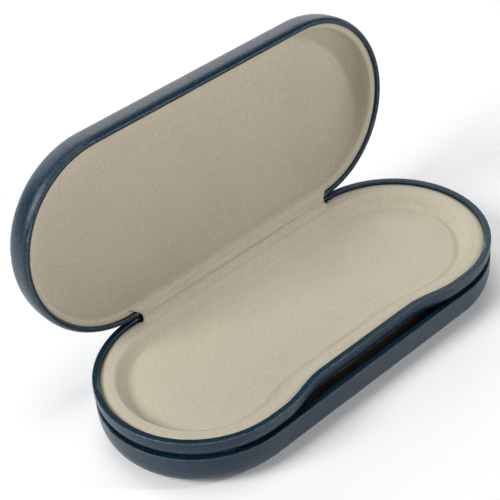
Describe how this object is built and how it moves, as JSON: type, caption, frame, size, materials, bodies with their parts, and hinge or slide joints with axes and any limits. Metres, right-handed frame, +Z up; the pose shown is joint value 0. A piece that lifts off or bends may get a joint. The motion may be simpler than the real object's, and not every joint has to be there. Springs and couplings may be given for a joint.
{
  "type": "double hard glasses case",
  "caption": "Hinged hard case with round ends: deep base, shallow middle tray with a finger notch and deep lid, leatherette outside, soft lining inside.",
  "frame": {"origin": "centre of the base's flat underside", "axes": "+X along the hinges, -Y to the front with the finger notch, +Z up"},
  "size_m": [0.1646, 0.0879, 0.0929],
  "materials": {
    "base_cover": "fine-grained leatherette with a satin sheen",
    "base_hinge_leaf": "bright steel",
    "base_lining": "brushed suede",
    "base_pad": "foam sheet",
    "base_rivet_1": "bright steel",
    "base_rivet_2": "bright steel",
    "base_rivet_3": "bright steel",
    "base_steel_shell": "pressed sheet steel",
    "lid_cover": "fine-grained leatherette with a satin sheen",
    "lid_hinge_leaf": "bright steel",
    "lid_lining": "brushed suede",
    "lid_pad": "foam sheet",
    "lid_rivet_1": "bright steel",
    "lid_rivet_2": "bright steel",
    "lid_rivet_3": "bright steel",
    "lid_steel_shell": "pressed sheet steel",
    "lower_hinge_lining": "brushed suede",
    "lower_hinge_pin": "bright steel",
    "lower_snap_spring_left": "bright steel",
    "lower_snap_spring_right": "bright steel",
    "lower_spine": "fine-grained leatherette with a satin sheen",
    "tray_cover": "fine-grained leatherette with a satin sheen",
    "tray_hinge_leaf": "bright steel",
    "tray_lining": "brushed suede",
    "tray_rivet_1": "bright steel",
    "tray_rivet_2": "bright steel",
    "tray_rivet_3": "bright steel",
    "tray_steel_pan": "pressed sheet steel",
    "tray_under_lining": "brushed suede",
    "upper_hinge_lining": "brushed suede",
    "upper_hinge_pin": "bright steel",
    "upper_snap_spring_left": "bright steel",
    "upper_snap_spring_right": "bright steel",
    "upper_spine": "fine-grained leatherette with a satin sheen"
  },
  "bodies": {
    "base": {"base_cover": "base_cover", "base_hinge_leaf": "base_hinge_leaf", "base_lining": "base_lining", "base_pad": "base_pad", "base_rivet_1": "base_rivet_1", "base_rivet_2": "base_rivet_2", "base_rivet_3": "base_rivet_3", "base_steel_shell": "base_steel_shell", "lower_hinge_pin": "lower_hinge_pin", "lower_snap_spring_left": "lower_snap_spring_left", "lower_snap_spring_right": "lower_snap_spring_right"},
    "tray": {"lower_hinge_lining": "lower_hinge_lining", "lower_spine": "lower_spine", "tray_cover": "tray_cover", "tray_hinge_leaf": "tray_hinge_leaf", "tray_lining": "tray_lining", "tray_rivet_1": "tray_rivet_1", "tray_rivet_2": "tray_rivet_2", "tray_rivet_3": "tray_rivet_3", "tray_steel_pan": "tray_steel_pan", "tray_under_lining": "tray_under_lining", "upper_hinge_lining": "upper_hinge_lining", "upper_hinge_pin": "upper_hinge_pin", "upper_snap_spring_left": "upper_snap_spring_left", "upper_snap_spring_right": "upper_snap_spring_right", "upper_spine": "upper_spine"},
    "lid": {"lid_cover": "lid_cover", "lid_hinge_leaf": "lid_hinge_leaf", "lid_lining": "lid_lining", "lid_pad": "lid_pad", "lid_rivet_1": "lid_rivet_1", "lid_rivet_2": "lid_rivet_2", "lid_rivet_3": "lid_rivet_3", "lid_steel_shell": "lid_steel_shell"}
  },
  "joints": [
    {"name": "tray_hinge", "type": "hinge", "parent": "base", "child": "tray", "pos_m": [0, 0.03464, 0.01525], "axis": [-1, 0, 0], "range_deg": [0, 95], "deforming": ["lower_spine", "lower_hinge_lining", "lower_snap_spring_left", "lower_snap_spring_right"]},
    {"name": "lid_hinge", "type": "hinge", "parent": "tray", "child": "lid", "pos_m": [0, 0.03464, 0.02245], "axis": [1, 0, 0], "range_deg": [0, 95], "deforming": ["upper_spine", "upper_hinge_lining", "upper_snap_spring_left", "upper_snap_spring_right"]}
  ]
}
